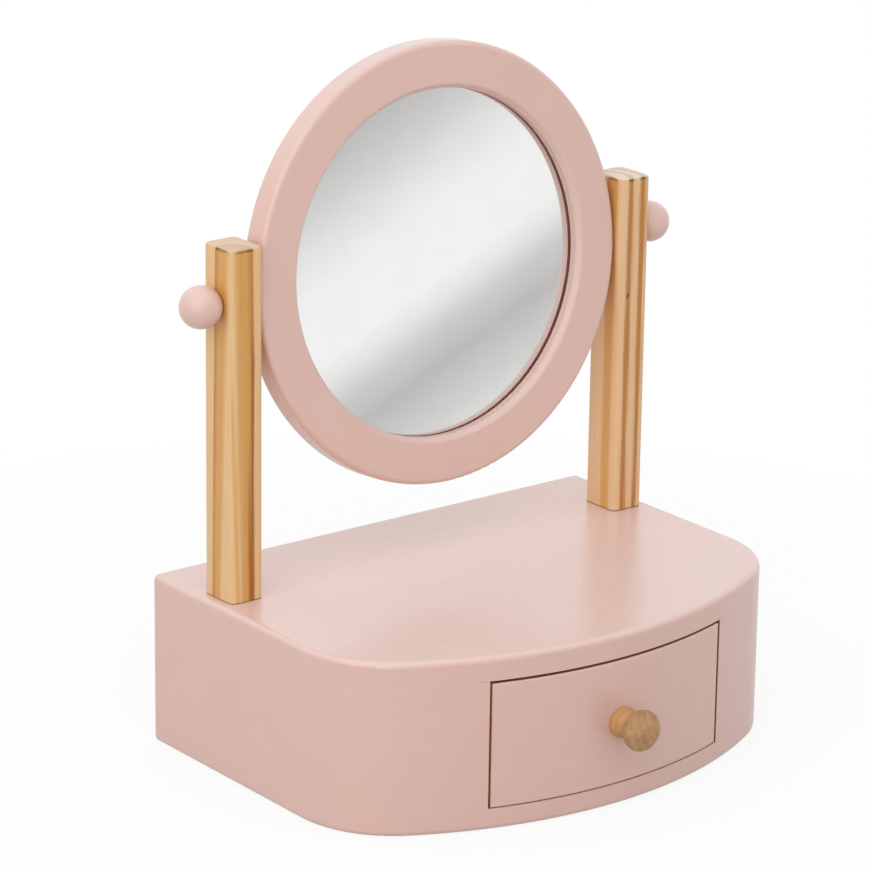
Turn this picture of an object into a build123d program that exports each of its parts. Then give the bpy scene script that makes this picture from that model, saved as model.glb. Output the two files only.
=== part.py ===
from build123d import *

import os
from math import cos, radians, sin, sqrt

# A table vanity mirror: a bow-fronted base with one drawer, two straight posts,
# and a round framed mirror that turns between the posts on a pair of pins.
# Millimetres. +X is right, -Y is the front, +Z is up. The posts stand on the
# line y = 0, and the base stands on z = 0.

os.makedirs("parts", exist_ok=True)

# Mirror frame, glass and back, measured square to the glass
frame_diameter = 162.5
frame_width = 17.25
frame_thickness = 11.0
frame_outer_round = 2.0
lip_taper = 1.5
glass_thickness = 1.6
pad_thickness = 1.4
pad_inset = 3.0
mirror_back_thickness = 3.0
mirror_seat_clearance = 0.3
mirror_tilt_degrees = 4.7
mirror_floor_gap = 28.3
mirror_side_gap = 0.5

# Pivot pins and the balls on their outer ends
pin_diameter = 5.0
pin_running_clearance = 0.1
pin_glue_clearance = 0.05
pin_end_gap = 0.2
pin_ball_depth = 8.0
ball_diameter = 15.5
ball_flat_depth = 1.15
ball_seat_gap = 0.4

# Posts
post_width = 14.0
post_depth = 17.5
post_edge_round = 2.5
post_top_round = 1.5
post_above_pivot = 20.9
post_inset = 4.25

# Base
post_line_to_back = 36.0
post_line_to_front = 111.5
base_height = 64.8
bow_radius = 165.0
front_corner_radius = 40.0
top_edge_round = 2.2
back_corner_extra_round = 0.3
bottom_edge_round = 2.0
top_board_thickness = 9.0
bottom_board_thickness = 8.0
side_panel_thickness = 9.0
back_panel_thickness = 9.0
divider_thickness = 6.0

# Drawer
drawer_front_width = 104.0
drawer_side_reveal = 0.85
drawer_top_reveal = 1.15
drawer_bottom_reveal = 0.35
drawer_front_edge_round = 0.6
drawer_front_end_thickness = 9.0
drawer_rebate_depth = 5.0
drawer_box_inset = 0.3
drawer_floor_gap = 0.3
drawer_back_gap = 0.5
drawer_side_thickness = 5.0
drawer_top_gap = 6.2
drawer_back_thickness = 5.0
drawer_bottom_thickness = 3.0
drawer_bottom_lift = 3.0
drawer_groove_depth = 2.5
drawer_groove_clearance = 0.1

# Knob, turned about its own axis
knob_diameter = 15.0
knob_projection = 16.2
knob_collar_diameter = 11.0
knob_neck_diameter = 7.4
knob_bore_depth = 9.0

# Fasteners
dowel_diameter = 5.0
dowel_length = 14.0
dowel_end_gap = 0.5
fastener_clearance = 0.05
post_screw_diameter = 3.5
post_screw_head_diameter = 6.8
post_screw_length = 32.0
post_screw_spacing = 8.0
bottom_screw_diameter = 3.0
bottom_screw_head_diameter = 5.6
bottom_screw_length = 20.0
bottom_screw_recess = 0.3
back_screw_diameter = 2.4
back_screw_head_diameter = 4.4
back_screw_length = 7.0
back_screw_count = 6
back_screw_start_degrees = 30
knob_screw_diameter = 3.5
knob_screw_head_diameter = 7.0
knob_screw_head_height = 2.2
knob_screw_end_gap = 0.5
brad_diameter = 1.4
brad_head_diameter = 2.4
brad_head_height = 0.5
brad_length = 16.0
cut_overrun = 2.0

# Shares of the sizes that they follow
glass_overlap_share = 0.26
lip_land_share = 0.6
lip_round_share = 0.5
mirror_ledge_share = 0.38
pin_frame_depth_share = 0.29
screw_tip_length_share = 1.2
screw_tip_radius_share = 0.25
slot_length_share = 0.6
slot_width_share = 0.14
slot_depth_share = 0.75
knob_collar_length_share = 0.15
knob_collar_bead_share = 1.05
knob_neck_place_share = 0.29
knob_head_start_share = 0.42
knob_head_start_radius_share = 0.6
knob_head_shares = [(0.52, 0.88), (0.66, 1.0), (0.84, 0.84), (0.95, 0.5)]
brad_height_shares = (0.3, 0.78)
case_side_place_shares = (0.22, 0.86)
back_panel_place_share = 0.5

# Places that follow from the sizes above
frame_radius = frame_diameter / 2
frame_opening_radius = frame_radius - frame_width
glass_radius = frame_opening_radius + frame_width * glass_overlap_share
glass_seat_radius = glass_radius + mirror_seat_clearance
mirror_back_radius = glass_seat_radius + frame_width * mirror_ledge_share
mirror_back_seat_radius = mirror_back_radius + mirror_seat_clearance
glass_seat_depth = mirror_back_thickness + pad_thickness + glass_thickness
lip_depth = frame_thickness - glass_seat_depth
lip_slope_depth = lip_depth * (1 - lip_land_share)
lip_edge_round = lip_slope_depth * lip_round_share
back_screw_circle_radius = (glass_seat_radius + mirror_back_radius) / 2
pin_frame_depth = frame_width * pin_frame_depth_share

post_inner_x = frame_radius + mirror_side_gap
post_x = post_inner_x + post_width / 2
post_outer_x = post_inner_x + post_width
half_width = post_outer_x + post_inset
pivot_z = base_height + mirror_floor_gap + frame_radius
post_height = mirror_floor_gap + frame_radius + post_above_pivot

back_y = post_line_to_back
front_y = -post_line_to_front
bow_centre_y = front_y + bow_radius
back_corner_radius = top_edge_round + back_corner_extra_round
wall_bottom_z = bottom_board_thickness
wall_top_z = base_height - top_board_thickness
wall_height = wall_top_z - wall_bottom_z
bay_half_width = drawer_front_width / 2 + drawer_side_reveal


def bow_y(x):
    """Where the bowed front stands, at a distance x from the middle."""
    return bow_centre_y - sqrt(bow_radius**2 - x**2)


# The round front corner leaves the straight side where the corner block starts
corner_centre_x = half_width - front_corner_radius
corner_block_back_y = bow_centre_y - sqrt((bow_radius - front_corner_radius) ** 2 - corner_centre_x**2)
corner_block_width = half_width - bay_half_width
corner_block_x = bay_half_width + corner_block_width / 2
corner_block_y = (corner_block_back_y + bow_y(corner_block_x)) / 2
side_panel_length = back_y - corner_block_back_y
side_panel_x = half_width - side_panel_thickness / 2
back_panel_width = 2 * (half_width - side_panel_thickness)
back_panel_front_y = back_y - back_panel_thickness
back_panel_place_x = back_panel_place_share * back_panel_width / 2
back_panel_place_y = back_y - back_panel_thickness / 2
divider_length = back_panel_front_y - corner_block_back_y

# Each place has a dowel under the top board and a screw up through the bottom board
case_places = []
for sign in (-1, 1):
    case_places.append((sign * corner_block_x, corner_block_y))
    case_places.append((sign * back_panel_place_x, back_panel_place_y))
    for share in case_side_place_shares:
        case_places.append((sign * side_panel_x, corner_block_back_y + share * divider_length))
dowel_places = [(x, y, wall_top_z) for x, y in case_places]
bottom_screw_places = [(x, y, bottom_screw_recess) for x, y in case_places]
post_screw_places = [
    (sign * post_x, end * post_screw_spacing / 2, wall_top_z) for sign in (-1, 1) for end in (-1, 1)
]

# The mirror's plane: its middle on the pivot line, its z axis out of the glass
tilt = radians(mirror_tilt_degrees)
mirror_plane = Plane(origin=(0, 0, pivot_z), x_dir=(1, 0, 0), z_dir=(0, -cos(tilt), sin(tilt)))
mirror_rear_plane = mirror_plane.offset(-frame_thickness / 2)


def countersunk_screw(diameter, head_diameter, length, clearance=0.0):
    """A screw that points up, its head's face on z = 0. With a clearance, the hole for it."""
    shank = diameter / 2 + clearance
    head = head_diameter / 2 + clearance
    head_height = (head_diameter - diameter) / 2
    with BuildPart() as screw:
        with BuildSketch(Plane.XZ):
            with BuildLine():
                Polyline(
                    (0, 0),
                    (head, 0),
                    (shank, head_height),
                    (shank, length - diameter * screw_tip_length_share),
                    (shank * screw_tip_radius_share, length + clearance),
                    (0, length + clearance),
                    close=True,
                )
            make_face()
        revolve(axis=Axis.Z)
        if not clearance:
            with BuildSketch():
                Rectangle(head_diameter * slot_length_share, head_diameter * slot_width_share)
                Rectangle(head_diameter * slot_width_share, head_diameter * slot_length_share)
            extrude(amount=head_height * slot_depth_share, mode=Mode.SUBTRACT)
    return screw.part


post_screw_sizes = (post_screw_diameter, post_screw_head_diameter, post_screw_length)
post_screw = countersunk_screw(*post_screw_sizes)
post_screw_hole = countersunk_screw(*post_screw_sizes, fastener_clearance)
bottom_screw_sizes = (bottom_screw_diameter, bottom_screw_head_diameter, bottom_screw_length)
bottom_screw = countersunk_screw(*bottom_screw_sizes)
bottom_screw_hole = countersunk_screw(*bottom_screw_sizes, fastener_clearance)
back_screw_sizes = (back_screw_diameter, back_screw_head_diameter, back_screw_length)
back_screw = countersunk_screw(*back_screw_sizes)
back_screw_hole = countersunk_screw(*back_screw_sizes, fastener_clearance)


def drill_case():
    """Cut the dowel and screw holes of the case that reach the piece being made."""
    with Locations(*dowel_places):
        Cylinder(
            dowel_diameter / 2 + fastener_clearance,
            dowel_length + 2 * dowel_end_gap,
            mode=Mode.SUBTRACT,
        )
    with Locations(*bottom_screw_places):
        add(bottom_screw_hole, mode=Mode.SUBTRACT)


# Base outline, seen from above
with BuildSketch() as base_outline:
    with BuildLine():
        side_front_y = bow_y(half_width)
        Polyline(
            (-half_width, side_front_y),
            (-half_width, back_y),
            (half_width, back_y),
            (half_width, side_front_y),
        )
        ThreePointArc((half_width, side_front_y), (0, front_y), (-half_width, side_front_y))
    make_face()
    fillet(base_outline.vertices().group_by(Axis.Y)[0], radius=front_corner_radius)
    fillet(base_outline.vertices().group_by(Axis.Y)[-1], radius=back_corner_radius)

# Top board, with holes for the posts' screws and for the dowels
with BuildPart() as top_board:
    with BuildSketch(Plane.XY.offset(wall_top_z)):
        add(base_outline.sketch)
    extrude(amount=top_board_thickness)
    fillet(top_board.faces().sort_by(Axis.Z)[-1].edges(), radius=top_edge_round)
    drill_case()
    with Locations(*post_screw_places):
        add(post_screw_hole, mode=Mode.SUBTRACT)
top_board.part.label = "top_board"
export_step(top_board.part, "parts/top_board.step")

# Bottom board, screwed up into the walls
with BuildPart() as bottom_board:
    with BuildSketch():
        add(base_outline.sketch)
    extrude(amount=bottom_board_thickness)
    fillet(bottom_board.faces().sort_by(Axis.Z)[0].edges(), radius=bottom_edge_round)
    with Locations(*case_places):
        Cylinder(
            bottom_screw_head_diameter / 2 + fastener_clearance,
            bottom_screw_recess,
            align=(Align.CENTER, Align.CENTER, Align.MIN),
            mode=Mode.SUBTRACT,
        )
    drill_case()
bottom_board.part.label = "bottom_board"
export_step(bottom_board.part, "parts/bottom_board.step")

# Side panels, corner blocks and dividers, a left and a right one of each
for side, sign in (("left", -1), ("right", 1)):
    with BuildPart() as side_panel:
        with BuildSketch(Plane.XY.offset(wall_bottom_z)):
            add(base_outline.sketch)
            with Locations((sign * side_panel_x, back_y - side_panel_length / 2)):
                Rectangle(side_panel_thickness, side_panel_length, mode=Mode.INTERSECT)
        extrude(amount=wall_height)
        drill_case()
    side_panel.part.label = f"{side}_side_panel"
    export_step(side_panel.part, f"parts/{side}_side_panel.step")

    with BuildPart() as corner_block:
        with BuildSketch(Plane.XY.offset(wall_bottom_z)):
            add(base_outline.sketch)
            with Locations((sign * corner_block_x, corner_block_back_y)):
                Rectangle(
                    corner_block_width,
                    corner_block_back_y - front_y,
                    align=(Align.CENTER, Align.MAX),
                    mode=Mode.INTERSECT,
                )
        extrude(amount=wall_height)
        drill_case()
    corner_block.part.label = f"{side}_corner_block"
    export_step(corner_block.part, f"parts/{side}_corner_block.step")

    with BuildPart() as divider:
        with BuildSketch(Plane.XY.offset(wall_bottom_z)):
            with Locations((sign * (bay_half_width + divider_thickness / 2), corner_block_back_y)):
                Rectangle(divider_thickness, divider_length, align=(Align.CENTER, Align.MIN))
        extrude(amount=wall_height)
    divider.part.label = f"{side}_divider"
    export_step(divider.part, f"parts/{side}_divider.step")

# Back panel, between the side panels
with BuildPart() as back_panel:
    with BuildSketch(Plane.XY.offset(wall_bottom_z)):
        with Locations((0, back_y)):
            Rectangle(back_panel_width, back_panel_thickness, align=(Align.CENTER, Align.MAX))
    extrude(amount=wall_height)
    drill_case()
back_panel.part.label = "back_panel"
export_step(back_panel.part, "parts/back_panel.step")

# Dowels and screws of the case
with BuildPart() as case_dowels:
    with Locations(*dowel_places):
        Cylinder(dowel_diameter / 2, dowel_length)
case_dowels.part.label = "case_dowels"
export_step(case_dowels.part, "parts/case_dowels.step")

with BuildPart() as bottom_screws:
    with Locations(*bottom_screw_places):
        add(bottom_screw)
bottom_screws.part.label = "bottom_screws"
export_step(bottom_screws.part, "parts/bottom_screws.step")

# Posts, bored for the pivot pins, and their screws
for side, sign in (("left", -1), ("right", 1)):
    with BuildPart() as post:
        with BuildSketch(Plane.XY.offset(base_height)):
            with Locations((sign * post_x, 0)):
                Rectangle(post_width, post_depth)
        extrude(amount=post_height)
        fillet(post.edges().filter_by(Axis.Z), radius=post_edge_round)
        fillet(post.faces().sort_by(Axis.Z)[-1].edges(), radius=post_top_round)
        with BuildSketch(Plane.YZ.offset(sign * post_x)):
            with Locations((0, pivot_z)):
                Circle(pin_diameter / 2 + pin_running_clearance)
        extrude(amount=post_width / 2 + cut_overrun, both=True, mode=Mode.SUBTRACT)
        with Locations(*post_screw_places):
            add(post_screw_hole, mode=Mode.SUBTRACT)
    post.part.label = f"{side}_post"
    export_step(post.part, f"parts/{side}_post.step")

with BuildPart() as post_screws:
    with Locations(*post_screw_places):
        add(post_screw)
post_screws.part.label = "post_screws"
export_step(post_screws.part, "parts/post_screws.step")

# Drawer places
drawer_front_bottom_z = wall_bottom_z + drawer_bottom_reveal
drawer_front_height = wall_height - drawer_bottom_reveal - drawer_top_reveal
drawer_front_back_y = bow_y(drawer_front_width / 2) + drawer_front_end_thickness
drawer_box_half_width = drawer_front_width / 2 - drawer_box_inset
drawer_inner_half_width = drawer_box_half_width - drawer_side_thickness
drawer_side_x = drawer_box_half_width - drawer_side_thickness / 2
drawer_side_front_y = drawer_front_back_y - drawer_rebate_depth
drawer_end_y = back_panel_front_y - drawer_back_gap
drawer_side_bottom_z = wall_bottom_z + drawer_floor_gap
drawer_side_top_z = wall_top_z - drawer_top_gap
drawer_side_height = drawer_side_top_z - drawer_side_bottom_z
drawer_bottom_z = drawer_side_bottom_z + drawer_bottom_lift
drawer_bottom_half_width = drawer_inner_half_width + drawer_groove_depth - drawer_groove_clearance
drawer_bottom_front_y = drawer_front_back_y - drawer_groove_depth + drawer_groove_clearance
knob_z = drawer_front_bottom_z + drawer_front_height / 2
brad_places = [
    (y, drawer_side_bottom_z + share * drawer_side_height)
    for y in (drawer_front_back_y - drawer_rebate_depth / 2, drawer_end_y - drawer_back_thickness / 2)
    for share in brad_height_shares
]


def brad_group(clearance=0.0):
    """The drawer's nails, driven in from both sides. With a clearance, the holes for them."""
    with BuildPart() as group:
        for sign in (-1, 1):
            with BuildSketch(Plane.YZ.offset(sign * drawer_box_half_width)):
                with Locations(*brad_places):
                    Circle(brad_diameter / 2 + clearance)
            extrude(amount=-sign * (brad_length + clearance))
            with BuildSketch(Plane.YZ.offset(sign * drawer_box_half_width)):
                with Locations(*brad_places):
                    Circle(brad_head_diameter / 2 + clearance)
            extrude(amount=-sign * (brad_head_height + clearance))
    return group.part


brad_holes = brad_group(fastener_clearance)

# The groove that holds the drawer's bottom, open at the back
with BuildPart() as bottom_groove:
    with BuildSketch(Plane.XY.offset(drawer_bottom_z - drawer_groove_clearance)):
        with Locations((0, drawer_front_back_y - drawer_groove_depth)):
            Rectangle(
                2 * (drawer_inner_half_width + drawer_groove_depth),
                drawer_end_y + cut_overrun - drawer_front_back_y + drawer_groove_depth,
                align=(Align.CENTER, Align.MIN),
            )
    extrude(amount=drawer_bottom_thickness + 2 * drawer_groove_clearance)

# Drawer front: bowed outside, flat inside, rebated at both ends for the sides
with BuildPart() as drawer_front:
    with BuildSketch(Plane.XY.offset(drawer_front_bottom_z)):
        with BuildLine():
            end_y = bow_y(drawer_front_width / 2)
            Polyline(
                (-drawer_front_width / 2, end_y),
                (-drawer_front_width / 2, drawer_front_back_y),
                (drawer_front_width / 2, drawer_front_back_y),
                (drawer_front_width / 2, end_y),
            )
            ThreePointArc((drawer_front_width / 2, end_y), (0, front_y), (-drawer_front_width / 2, end_y))
        make_face()
    extrude(amount=drawer_front_height)
    bowed_face = drawer_front.faces().filter_by(GeomType.CYLINDER)[0]
    fillet(bowed_face.edges(), radius=drawer_front_edge_round)
    for sign in (-1, 1):
        with BuildSketch(Plane.XY.offset(drawer_front_bottom_z - cut_overrun)):
            with Locations((sign * (drawer_inner_half_width + drawer_side_thickness), drawer_side_front_y)):
                Rectangle(
                    2 * drawer_side_thickness,
                    drawer_rebate_depth + cut_overrun,
                    align=(Align.CENTER, Align.MIN),
                )
        extrude(amount=drawer_front_height + 2 * cut_overrun, mode=Mode.SUBTRACT)
    add(bottom_groove.part, mode=Mode.SUBTRACT)
    add(brad_holes, mode=Mode.SUBTRACT)
    with BuildSketch(Plane.XZ.offset(-drawer_front_back_y - cut_overrun)):
        with Locations((0, knob_z)):
            Circle(knob_screw_diameter / 2 + fastener_clearance)
    extrude(amount=post_line_to_front + drawer_front_back_y + 2 * cut_overrun, mode=Mode.SUBTRACT)
drawer_front.part.label = "drawer_front"
export_step(drawer_front.part, "parts/drawer_front.step")

# Drawer sides, back and bottom
for side, sign in (("left", -1), ("right", 1)):
    with BuildPart() as drawer_side:
        with BuildSketch(Plane.XY.offset(drawer_side_bottom_z)):
            with Locations((sign * drawer_side_x, drawer_side_front_y)):
                Rectangle(
                    drawer_side_thickness,
                    drawer_end_y - drawer_side_front_y,
                    align=(Align.CENTER, Align.MIN),
                )
        extrude(amount=drawer_side_height)
        add(bottom_groove.part, mode=Mode.SUBTRACT)
        add(brad_holes, mode=Mode.SUBTRACT)
    drawer_side.part.label = f"drawer_{side}_side"
    export_step(drawer_side.part, f"parts/drawer_{side}_side.step")

with BuildPart() as drawer_back:
    with BuildSketch(Plane.XY.offset(drawer_bottom_z + drawer_bottom_thickness)):
        with Locations((0, drawer_end_y)):
            Rectangle(2 * drawer_inner_half_width, drawer_back_thickness, align=(Align.CENTER, Align.MAX))
    extrude(amount=drawer_side_top_z - drawer_bottom_z - drawer_bottom_thickness)
    add(brad_holes, mode=Mode.SUBTRACT)
drawer_back.part.label = "drawer_back"
export_step(drawer_back.part, "parts/drawer_back.step")

with BuildPart() as drawer_bottom:
    with BuildSketch(Plane.XY.offset(drawer_bottom_z)):
        with Locations((0, drawer_bottom_front_y)):
            Rectangle(
                2 * drawer_bottom_half_width,
                drawer_end_y - drawer_bottom_front_y,
                align=(Align.CENTER, Align.MIN),
            )
    extrude(amount=drawer_bottom_thickness)
drawer_bottom.part.label = "drawer_bottom"
export_step(drawer_bottom.part, "parts/drawer_bottom.step")

with BuildPart() as drawer_brads:
    add(brad_group())
drawer_brads.part.label = "drawer_brads"
export_step(drawer_brads.part, "parts/drawer_brads.step")

# Knob: x runs out from the drawer's face along the knob's axis, y is its radius
knob_section = Plane(origin=(0, front_y, knob_z), x_dir=(0, -1, 0), z_dir=(-1, 0, 0))
knob_axis = Axis((0, front_y, knob_z), (0, -1, 0))
with BuildPart() as drawer_knob:
    with BuildSketch(knob_section):
        with BuildLine():
            collar_radius = knob_collar_diameter / 2
            collar_end = (knob_projection * knob_collar_length_share, collar_radius)
            neck = (knob_projection * knob_neck_place_share, knob_neck_diameter / 2)
            head_start = (
                knob_projection * knob_head_start_share,
                knob_diameter / 2 * knob_head_start_radius_share,
            )
            head_points = [
                (knob_projection * place, knob_diameter / 2 * radius) for place, radius in knob_head_shares
            ]
            Polyline((knob_projection, 0), (0, 0), (0, collar_radius))
            ThreePointArc(
                (0, collar_radius),
                (collar_end[0] / 2, collar_radius * knob_collar_bead_share),
                collar_end,
            )
            ThreePointArc(collar_end, neck, head_start)
            Spline(head_start, *head_points, (knob_projection, 0), tangents=[(1, 1), (0, -1)])
        make_face()
    revolve(axis=knob_axis)
    with BuildSketch(Plane.XZ.offset(-front_y)):
        with Locations((0, knob_z)):
            Circle(knob_screw_diameter / 2 + fastener_clearance)
    extrude(amount=knob_bore_depth, mode=Mode.SUBTRACT)
drawer_knob.part.label = "drawer_knob"
export_step(drawer_knob.part, "parts/drawer_knob.step")

# Knob screw: its flat head is inside the drawer
with BuildPart() as knob_screw:
    with BuildSketch(Plane.XZ.offset(-drawer_front_back_y)):
        with Locations((0, knob_z)):
            Circle(knob_screw_head_diameter / 2)
    extrude(amount=-knob_screw_head_height)
    with BuildSketch(Plane.XZ.offset(-drawer_front_back_y)):
        with Locations((0, knob_z)):
            Circle(knob_screw_diameter / 2)
    extrude(amount=post_line_to_front + drawer_front_back_y + knob_bore_depth - knob_screw_end_gap)
knob_screw.part.label = "knob_screw"
export_step(knob_screw.part, "parts/knob_screw.step")

# Mirror frame: a ring with a sloped lip, a step behind it for the glass and one for the back panel
with BuildPart() as mirror_frame:
    with BuildSketch(mirror_rear_plane):
        Circle(frame_radius)
        Circle(frame_opening_radius, mode=Mode.SUBTRACT)
    extrude(amount=frame_thickness)
    with Locations(mirror_plane.offset(frame_thickness / 2 - lip_slope_depth)):
        Cone(
            frame_opening_radius,
            frame_opening_radius + lip_taper,
            lip_slope_depth,
            align=(Align.CENTER, Align.CENTER, Align.MIN),
            mode=Mode.SUBTRACT,
        )
    rims = mirror_frame.edges().filter_by(GeomType.CIRCLE).group_by(SortBy.RADIUS)
    fillet(rims[-1], radius=frame_outer_round)
    fillet(rims[-2], radius=lip_edge_round)
    with BuildSketch(mirror_rear_plane):
        Circle(mirror_back_seat_radius)
    extrude(amount=mirror_back_thickness, mode=Mode.SUBTRACT)
    with BuildSketch(mirror_rear_plane):
        Circle(glass_seat_radius)
    extrude(amount=glass_seat_depth, mode=Mode.SUBTRACT)
    for sign in (-1, 1):
        with BuildSketch(Plane.YZ.offset(sign * (frame_radius - pin_frame_depth - pin_end_gap))):
            with Locations((0, pivot_z)):
                Circle(pin_diameter / 2 + pin_glue_clearance)
        extrude(amount=sign * (pin_frame_depth + pin_end_gap + cut_overrun), mode=Mode.SUBTRACT)
    with Locations(mirror_rear_plane):
        with PolarLocations(back_screw_circle_radius, back_screw_count, back_screw_start_degrees):
            add(back_screw_hole, mode=Mode.SUBTRACT)
mirror_frame.part.label = "mirror_frame"
export_step(mirror_frame.part, "parts/mirror_frame.step")

# Glass, pad and back panel, one behind the other
with BuildPart() as mirror_glass:
    with BuildSketch(mirror_rear_plane.offset(mirror_back_thickness + pad_thickness)):
        Circle(glass_radius)
    extrude(amount=glass_thickness)
mirror_glass.part.label = "mirror_glass"
export_step(mirror_glass.part, "parts/mirror_glass.step")

with BuildPart() as mirror_pad:
    with BuildSketch(mirror_rear_plane.offset(mirror_back_thickness)):
        Circle(glass_radius - pad_inset)
    extrude(amount=pad_thickness)
mirror_pad.part.label = "mirror_pad"
export_step(mirror_pad.part, "parts/mirror_pad.step")

with BuildPart() as mirror_back_panel:
    with BuildSketch(mirror_rear_plane):
        Circle(mirror_back_radius)
    extrude(amount=mirror_back_thickness)
    with Locations(mirror_rear_plane):
        with PolarLocations(back_screw_circle_radius, back_screw_count, back_screw_start_degrees):
            add(back_screw_hole, mode=Mode.SUBTRACT)
mirror_back_panel.part.label = "mirror_back_panel"
export_step(mirror_back_panel.part, "parts/mirror_back_panel.step")

with BuildPart() as mirror_back_screws:
    with Locations(mirror_rear_plane):
        with PolarLocations(back_screw_circle_radius, back_screw_count, back_screw_start_degrees):
            add(back_screw)
mirror_back_screws.part.label = "mirror_back_screws"
export_step(mirror_back_screws.part, "parts/mirror_back_screws.step")

# Pivot pins, glued into the frame and the balls and free to turn in the posts
ball_radius = ball_diameter / 2
ball_seat_x = post_outer_x + ball_seat_gap
ball_x = ball_seat_x + ball_radius - ball_flat_depth
pin_start_x = frame_radius - pin_frame_depth
pivot_axis = Axis((0, 0, pivot_z), (1, 0, 0))
pin_length = ball_seat_x + pin_ball_depth - pin_start_x
for side, sign in (("left", -1), ("right", 1)):
    with BuildPart() as pivot_pin:
        with BuildSketch(Plane.YZ.offset(sign * pin_start_x)):
            with Locations((0, pivot_z)):
                Circle(pin_diameter / 2)
        extrude(amount=sign * pin_length)
    pivot_pin.part.label = f"{side}_pivot_pin"
    export_step(pivot_pin.part, f"parts/{side}_pivot_pin.step")

    with BuildPart() as pivot_ball:
        with BuildSketch(Plane.XZ):
            with Locations((sign * ball_x, pivot_z)):
                Circle(ball_radius)
            with Locations((sign * (ball_seat_x + ball_radius), pivot_z)):
                Rectangle(
                    2 * ball_radius,
                    ball_radius,
                    align=(Align.CENTER, Align.MIN),
                    mode=Mode.INTERSECT,
                )
        revolve(axis=pivot_axis)
        with BuildSketch(Plane.YZ.offset(sign * ball_seat_x)):
            with Locations((0, pivot_z)):
                Circle(pin_diameter / 2 + pin_glue_clearance)
        extrude(amount=sign * (pin_ball_depth + pin_end_gap), mode=Mode.SUBTRACT)
    pivot_ball.part.label = f"{side}_pivot_ball"
    export_step(pivot_ball.part, f"parts/{side}_pivot_ball.step")
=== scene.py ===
# %% [markdown]
# # A table vanity mirror, dressed
# A round mirror turns between two pine posts on a bow-fronted base with one
# drawer. The solids already have their real shapes and sizes, so this lesson
# keeps them and gives each one the finish of the real piece: sprayed pink paint,
# striped pine, turned beech, plywood, hardboard, zinc and silvered glass.
# Only the glass is built again, because a mirror needs a clear front and a
# silvered back, and one solid with one finish can't have both.

# %% Load the frame
import math

import bmesh
import bpy
from mathutils import Matrix, Vector


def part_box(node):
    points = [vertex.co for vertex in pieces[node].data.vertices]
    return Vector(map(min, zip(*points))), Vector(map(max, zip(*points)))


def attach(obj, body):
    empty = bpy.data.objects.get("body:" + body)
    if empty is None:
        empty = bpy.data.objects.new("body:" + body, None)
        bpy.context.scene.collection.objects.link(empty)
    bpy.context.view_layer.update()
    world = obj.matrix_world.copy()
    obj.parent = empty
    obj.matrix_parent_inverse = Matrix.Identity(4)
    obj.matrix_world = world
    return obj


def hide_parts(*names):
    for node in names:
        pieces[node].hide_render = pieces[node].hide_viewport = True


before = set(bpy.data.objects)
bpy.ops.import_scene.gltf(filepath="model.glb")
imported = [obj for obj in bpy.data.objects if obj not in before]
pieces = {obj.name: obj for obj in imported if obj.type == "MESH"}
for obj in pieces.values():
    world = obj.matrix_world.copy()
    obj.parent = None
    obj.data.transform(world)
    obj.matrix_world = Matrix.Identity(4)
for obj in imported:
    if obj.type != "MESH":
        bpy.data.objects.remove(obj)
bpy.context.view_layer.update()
MM = 0.001


def middle(node):
    """The middle of a node's box."""
    low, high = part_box(node)
    return (low + high) / 2


# %% Where the mirror's axis is
solid_glass = pieces["mirror_glass"].data
plate_low, plate_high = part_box("mirror_glass")
plate_centre = middle("mirror_glass")
plate_radius = (plate_high.x - plate_low.x) / 2
outward = max(solid_glass.polygons, key=lambda face: face.area).normal.copy()
if outward.y > 0:
    outward.negate()
half = max(abs((point.co - plate_centre).dot(outward)) for point in solid_glass.vertices)
print("plate radius", round(plate_radius / MM, 2), "thickness", round(2 * half / MM, 2),
      "lean", round(math.degrees(math.asin(outward.z)), 2))

# %% [markdown]
# ## Small tools for node trees
# Every finish here is a node tree. These helpers keep the trees short to read:
# one adds a node, one feeds a socket with a link or a plain value, and the rest
# do sums. Colours are written as they look on a screen and turned into the
# linear values that the shader works with.

# %% Helpers for node trees
def feed(tree, socket, value):
    """Links an output into a socket, or types a plain value into it."""
    if isinstance(value, bpy.types.NodeSocket):
        tree.links.new(value, socket)
    else:
        socket.default_value = value


def add_node(tree, kind, settings=None, **sockets):
    """Adds a node. Settings are its own options, sockets are fed by name."""
    made = tree.nodes.new(kind)
    for option, value in (settings or {}).items():
        setattr(made, option, value)
    for label, value in sockets.items():
        feed(tree, made.inputs[label.replace("_", " ")], value)
    return made


def calc(tree, sum_kind, first, second=0.0, third=0.0, clamp=False):
    """One step of arithmetic, given back as a socket."""
    step = add_node(tree, "ShaderNodeMath", {"operation": sum_kind, "use_clamp": clamp})
    for socket, value in zip(step.inputs, (first, second, third)):
        feed(tree, socket, value)
    return step.outputs[0]


def vector(tree, sum_kind, first, second=(0, 0, 0)):
    """One step of vector arithmetic, with both its outputs."""
    step = add_node(tree, "ShaderNodeVectorMath", {"operation": sum_kind})
    feed(tree, step.inputs[0], first)
    feed(tree, step.inputs[1], second)
    return step.outputs


def product(tree, *values):
    """Multiplies any number of values."""
    result = values[0]
    for value in values[1:]:
        result = calc(tree, "MULTIPLY", result, value)
    return result


def between(tree, value, low, high, to_low=0.0, to_high=1.0, smooth=True):
    """Maps a value from one range to another, softly and without overshoot."""
    way = "SMOOTHSTEP" if smooth else "LINEAR"
    mapped = add_node(tree, "ShaderNodeMapRange", {"interpolation_type": way}, Value=value)
    for label, number in (("From Min", low), ("From Max", high), ("To Min", to_low), ("To Max", to_high)):
        feed(tree, mapped.inputs[label], number)
    return mapped.outputs["Result"]


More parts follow.
